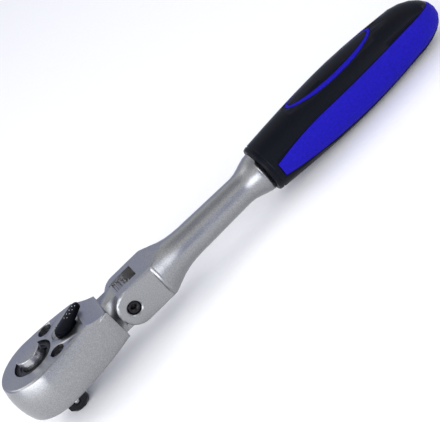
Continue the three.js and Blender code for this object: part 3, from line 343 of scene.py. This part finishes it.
def paint(node, name):
    """Gives a CAD node one of the finishes."""
    target = frame["nodes"][node]
    target.data.materials.clear()
    target.data.materials.append(finish(name))


def smooth_mesh(mesh, crease):
    """Shades a mesh smooth, apart from edges sharper than the crease."""
    for face in mesh.polygons:
        face.use_smooth = True
    mesh.set_sharp_from_angle(angle=math.radians(crease))


def dressed(node, name, crease=PLAIN_CREASE):
    """A welded, smooth-shaded stand-in for a CAD node, with a finish."""
    shape = bmesh.new()
    shape.from_mesh(frame["nodes"][node].data)
    bmesh.ops.remove_doubles(shape, verts=shape.verts, dist=WELD_DISTANCE)
    mesh = bpy.data.meshes.new(f"{node}_look")
    shape.to_mesh(mesh)
    shape.free()
    smooth_mesh(mesh, crease)
    mesh.materials.append(finish(name))
    piece = placed(f"{node}_look", mesh)
    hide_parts(node)
    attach(piece, frame["nodes"][node]["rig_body"])
    return piece


def flat_faces_first(piece):
    """Bends the shading at edges into the small faces, so that large faces look flat."""
    weighted = piece.modifiers.new("weighted", "WEIGHTED_NORMAL")
    weighted.keep_sharp = True
    weighted.weight = FLAT_WEIGHT


def refaced(piece, name, chosen):
    """Gives the faces that a test picks a second finish."""
    if len(piece.data.materials) == 1:
        piece.data.materials.append(finish(name))
    for face in piece.data.polygons:
        if chosen(face):
            face.material_index = 1


class RATCHET_OT_head(bpy.types.Operator):
    """Head forging, cover plate and the two cover screws"""

    bl_idname = "ratchet.head"
    bl_label = "Head"

    def execute(self, context):
        head = dressed("head_housing", "satin_chrome", FORGED_CREASE)
        flat_faces_first(head)
        dressed("cover_plate", "satin_chrome")
        for node in ("cover_screw_near", "cover_screw_far"):
            dressed(node, "black_oxide", SCREW_CREASE)
            # Each screw's seat wall takes the black finish as painted shade in the recess.
            self.paint_seat_shade(head, *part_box(node))
        return {"FINISHED"}

    def paint_seat_shade(self, head, low, high):
        """Paints shade on the wall round a screw: upright faces close to the screw's rim take the black
        finish as painted shade in the recess.
        """
        middle = (low + high) / 2
        reach = (high.x - low.x) / 2 + SEAT_MARGIN

        def in_shaded_seat(face):
            near = (face.center - middle).xy.length < reach
            return near and abs(face.normal.z) < UPRIGHT and face.center.z > middle.z

        refaced(head, "black_oxide", in_shaded_seat)


def dot_tree():
    """Geometry nodes: a grid of low domes in one material."""
    tree = bpy.data.node_groups.new("raised_dots", "GeometryNodeTree")
    link = tree.links.new
    sockets = {}
    for label, kind in (
        ("Along", "NodeSocketInt"), ("Across", "NodeSocketInt"), ("Pitch", "NodeSocketFloat"),
        ("Radius", "NodeSocketFloat"), ("Flatness", "NodeSocketFloat"), ("Material", "NodeSocketMaterial"),
    ):
        sockets[label] = tree.interface.new_socket(label, in_out="INPUT", socket_type=kind).identifier
    tree.interface.new_socket("Geometry", in_out="OUTPUT", socket_type="NodeSocketGeometry")
    start = tree.nodes.new("NodeGroupInput")
    end = tree.nodes.new("NodeGroupOutput")
    grid = tree.nodes.new("GeometryNodeMeshGrid")
    for axis, count in (("X", "Along"), ("Y", "Across")):
        steps = tree.nodes.new("ShaderNodeMath")
        steps.operation = "SUBTRACT"
        steps.inputs[1].default_value = 1
        size = tree.nodes.new("ShaderNodeMath")
        size.operation = "MULTIPLY"
        link(start.outputs[count], steps.inputs[0])
        link(steps.outputs[0], size.inputs[0])
        link(start.outputs["Pitch"], size.inputs[1])
        link(size.outputs[0], grid.inputs[f"Size {axis}"])
        link(start.outputs[count], grid.inputs[f"Vertices {axis}"])
    dot = tree.nodes.new("GeometryNodeMeshUVSphere")
    dot.inputs["Segments"].default_value = DOT_SEGMENTS
    dot.inputs["Rings"].default_value = DOT_RINGS
    link(start.outputs["Radius"], dot.inputs["Radius"])
    scale = tree.nodes.new("ShaderNodeCombineXYZ")
    scale.inputs["X"].default_value = 1
    scale.inputs["Y"].default_value = 1
    link(start.outputs["Flatness"], scale.inputs["Z"])
    place = tree.nodes.new("GeometryNodeInstanceOnPoints")
    link(grid.outputs["Mesh"], place.inputs["Points"])
    link(dot.outputs["Mesh"], place.inputs["Instance"])
    link(scale.outputs["Vector"], place.inputs["Scale"])
    real = tree.nodes.new("GeometryNodeRealizeInstances")
    coat = tree.nodes.new("GeometryNodeSetMaterial")
    link(place.outputs["Instances"], real.inputs["Geometry"])
    link(real.outputs["Geometry"], coat.inputs["Geometry"])
    link(start.outputs["Material"], coat.inputs["Material"])
    link(coat.outputs["Geometry"], end.inputs["Geometry"])
    return tree, sockets


def dot_mesh(context, size):
    """The grid of dots as a plain mesh, centred on the origin."""
    tree, sockets = dot_tree()
    holder = placed("dot_maker", bpy.data.meshes.new("dot_maker"))
    maker = holder.modifiers.new("dots", "NODES")
    maker.node_group = tree
    for label, value in (
        ("Along", size.dots_along), ("Across", size.dots_across), ("Pitch", size.dot_pitch),
        ("Radius", size.dot_radius), ("Flatness", size.dot_height / size.dot_radius),
        # The dots take the bright steel finish as painted glints on the black lever.
        ("Material", finish("spring_steel")),
    ):
        maker[sockets[label]] = value
    evaluated = holder.evaluated_get(context.evaluated_depsgraph_get())
    mesh = bpy.data.meshes.new_from_object(evaluated)
    bpy.data.objects.remove(holder)
    smooth_mesh(mesh, ROUND_CREASE)
    return mesh


class RATCHET_OT_lever(bpy.types.Operator):
    """Reversing lever and the raised dots on its thumb tab"""

    bl_idname = "ratchet.lever"
    bl_label = "Lever"

    def execute(self, context):
        lever = dressed("reverse_lever", "black_lever", LEVER_CREASE)
        # The raised dots carry painted glints in a bright steel finish.
        self.dots(context, lever)
        return {"FINISHED"}

    def dots(self, context, lever):
        """The dots lie along the tab, which points from the lever's axis to its far end."""
        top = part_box("reverse_lever")[1].z
        axis = Vector(joint_named("lever_throw")["pos_m"])
        crown = [v.co for v in lever.data.vertices if v.co.z > top - CROWN_DEPTH]
        middle = sum(crown, Vector()) / len(crown)
        far = max(crown, key=lambda p: (p - axis).xy.length)
        turn = math.atan2(far.y - middle.y, far.x - middle.x)
        mesh = dot_mesh(context, context.scene.ratchet_sizes)
        mesh.transform(Matrix.Translation((middle.x, middle.y, top)) @ Matrix.Rotation(turn, 4, "Z"))
        piece = placed("lever_dots", mesh)
        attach(piece, "lever")


class RATCHET_OT_drive(bpy.types.Operator):
    """Square drive with its gear, release button, clip and detent ball"""

    bl_idname = "ratchet.drive"
    bl_label = "Drive"

    def execute(self, context):
        dressed("drive_gear", "black_oxide")
        button = dressed("release_button", "polished_chrome")
        refaced(button, "satin_chrome", lambda face: face.normal.z > FACING)
        flat_faces_first(button)
        dressed("detent_ball", "polished_chrome", ROUND_CREASE)
        dressed("button_clip", "black_oxide")
        return {"FINISHED"}


class RATCHET_OT_handle(bpy.types.Operator):
    """Handle forging with the fork, the pivot screw and the index plunger"""

    bl_idname = "ratchet.handle"
    bl_label = "Handle"

    def execute(self, context):
        handle = dressed("handle_forging", "satin_chrome", FORGED_CREASE)
        flat_faces_first(handle)
        # The fork's slot gets painted light in a bright steel finish.
        self.paint_slot_light(handle)
        dressed("pivot_screw", "black_oxide")
        dressed("index_plunger", "tool_steel")
        return {"FINISHED"}

    def paint_slot_light(self, handle):
        """Paints light into the fork's slot: the end wall and the faces that look at each other take the
        bright steel finish as painted light against the shade in the deep slot.
        """
        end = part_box("head_housing")[1].x + SLOT_MARGIN

        def in_lit_slot(face):
            near = face.center.x < end and abs(face.center.y) < SLOT_HALF
            return near and (face.normal.x < -FACING or face.normal.y * face.center.y < 0)

        refaced(handle, "spring_steel", in_lit_slot)


class RATCHET_OT_grip(bpy.types.Operator):
    """Grip, inlay and the bare badge"""

    bl_idname = "ratchet.grip"
    bl_label = "Grip"

    def execute(self, context):
        dressed("grip_core", "grip_black")
        dressed("grip_inlay", "grip_blue")
        dressed("badge_ring", "grip_blue")
        dressed("badge_plate", "grip_black")
        return {"FINISHED"}


class RATCHET_OT_springs(bpy.types.Operator):
    """Coil springs of the button and the plungers, each with a mesh of its own"""

    bl_idname = "ratchet.springs"
    bl_label = "Springs"

    def execute(self, context):
        for node, joint_name in SPRINGS:
            spring = dressed(node, "spring_steel", ROUND_CREASE)
            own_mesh(spring)
        return {"FINISHED"}


class RATCHET_OT_mechanism(bpy.types.Operator):
    """Finishes for the pieces inside the head"""

    bl_idname = "ratchet.mechanism"
    bl_label = "Mechanism"

    def execute(self, context):
        for node in ("pawl", "pawl_pin", "selector_plunger"):
            paint(node, "tool_steel")
        paint("lever_clip", "spring_steel")
        return {"FINISHED"}


def soft_box(name, place, width, height, power):
    """A rectangular light that faces the ratchet."""
    light = bpy.data.lights.new(name, "AREA")
    light.shape = "RECTANGLE"
    light.size = width
    light.size_y = height
    light.energy = power
    lamp = placed(name, light)
    lamp.location = place
    lamp.rotation_euler = (BOX_AIM - Vector(place)).to_track_quat("-Z", "Y").to_euler()


class RATCHET_OT_stage(bpy.types.Operator):
    """Floor, soft light and camera"""

    bl_idname = "ratchet.stage"
    bl_label = "Stage"

    def execute(self, context):
        settings = context.scene.ratchet_stage
        self.floor(settings)
        self.sky(context, settings)
        self.camera(context, settings)
        for name, power, place, width, height in SOFT_BOXES:
            soft_box(name, place, width, height, getattr(settings, power))
        context.scene.view_settings.view_transform = "Standard"
        return {"FINISHED"}

    def floor(self, settings):
        """A plane that touches the drive's end and the grip's belly."""
        drive_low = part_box("drive_gear")[0]
        grip_low, grip_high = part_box("grip_core")
        belly = (grip_low.x + grip_high.x) / 2
        slope = (grip_low.z - drive_low.z) / (belly - DRIVE_TOE)
        corners = [
            (x * FLOOR_HALF, y * FLOOR_HALF, slope * (x * FLOOR_HALF - DRIVE_TOE) + drive_low.z)
            for x, y in ((-1, -1), (1, -1), (1, 1), (-1, 1))
        ]
        mesh = bpy.data.meshes.new("floor")
        mesh.from_pydata(corners, [], [(0, 1, 2, 3)])
        mesh.materials.append(surface("floor_paper", settings, PAPER))
        plane = placed("floor", mesh)

    def sky(self, context, settings):
        """Light from all round, brightest half way up and darker at the horizon and overhead."""
        world = bpy.data.worlds.new("studio")
        context.scene.world = world
        world.use_nodes = True
        tree = world.node_tree
        place = tree.nodes.new("ShaderNodeTexCoord")
        parts = tree.nodes.new("ShaderNodeSeparateXYZ")
        tones = tree.nodes.new("ShaderNodeValToRGB")
        first, last = tones.color_ramp.elements
        first.position = HORIZON_HEIGHT
        first.color = (*settings.horizon, 1)
        last.position = ZENITH_HEIGHT
        last.color = (*settings.zenith, 1)
        for height in RING_HEIGHTS:
            tones.color_ramp.elements.new(height).color = (*settings.ring, 1)
        tree.links.new(place.outputs["Generated"], parts.inputs["Vector"])
        tree.links.new(parts.outputs["Z"], tones.inputs["Fac"])
        tree.links.new(tones.outputs["Color"], tree.nodes["Background"].inputs["Color"])

    def camera(self, context, settings):
        """The photograph's viewing angle."""
        view = bpy.data.cameras.new("photo_view")
        view.lens = settings.lens
        view.sensor_width = SENSOR_WIDTH
        view.clip_start = CLIP_START
        holder = placed("photo_view", view)
        turn = Matrix((CAMERA_RIGHT, CAMERA_UP, CAMERA_BACK)).transposed().to_4x4()
        holder.matrix_world = Matrix.Translation(CAMERA_PLACE) @ turn
        context.scene.camera = holder


class RATCHET_PT_panel(bpy.types.Panel):
    """Lists the ratchet's pieces and settings"""

    bl_idname = "RATCHET_PT_panel"
    bl_label = "Flex head ratchet"
    bl_space_type = "VIEW_3D"
    bl_region_type = "UI"
    bl_category = "Ratchet"

    def draw(self, context):
        column = self.layout.column()
        for operator in OPERATORS:
            column.operator(operator.bl_idname)
        for name, group in GROUPS:
            settings = getattr(context.scene, name)
            for field in group.__annotations__:
                column.prop(settings, field)


OPERATORS = (
    RATCHET_OT_head,
    RATCHET_OT_lever,
    RATCHET_OT_drive,
    RATCHET_OT_handle,
    RATCHET_OT_grip,
    RATCHET_OT_springs,
    RATCHET_OT_mechanism,
    RATCHET_OT_stage,
)
GROUPS = (
    ("ratchet_finishes", RatchetFinishes),
    ("ratchet_sizes", RatchetSizes),
    ("ratchet_stage", StageSettings),
)


def register():
    for name, group in GROUPS:
        bpy.utils.register_class(group)
        setattr(bpy.types.Scene, name, PointerProperty(type=group))
    for kind in (*OPERATORS, RATCHET_PT_panel):
        bpy.utils.register_class(kind)


def unregister():
    for kind in (RATCHET_PT_panel, *reversed(OPERATORS)):
        bpy.utils.unregister_class(kind)
    for name, group in reversed(GROUPS):
        delattr(bpy.types.Scene, name)
        bpy.utils.unregister_class(group)


def main():
    register()
    for operator in OPERATORS:
        group, name = operator.bl_idname.split(".")
        getattr(getattr(bpy.ops, group), name)()


if __name__ == "__main__":
    main()
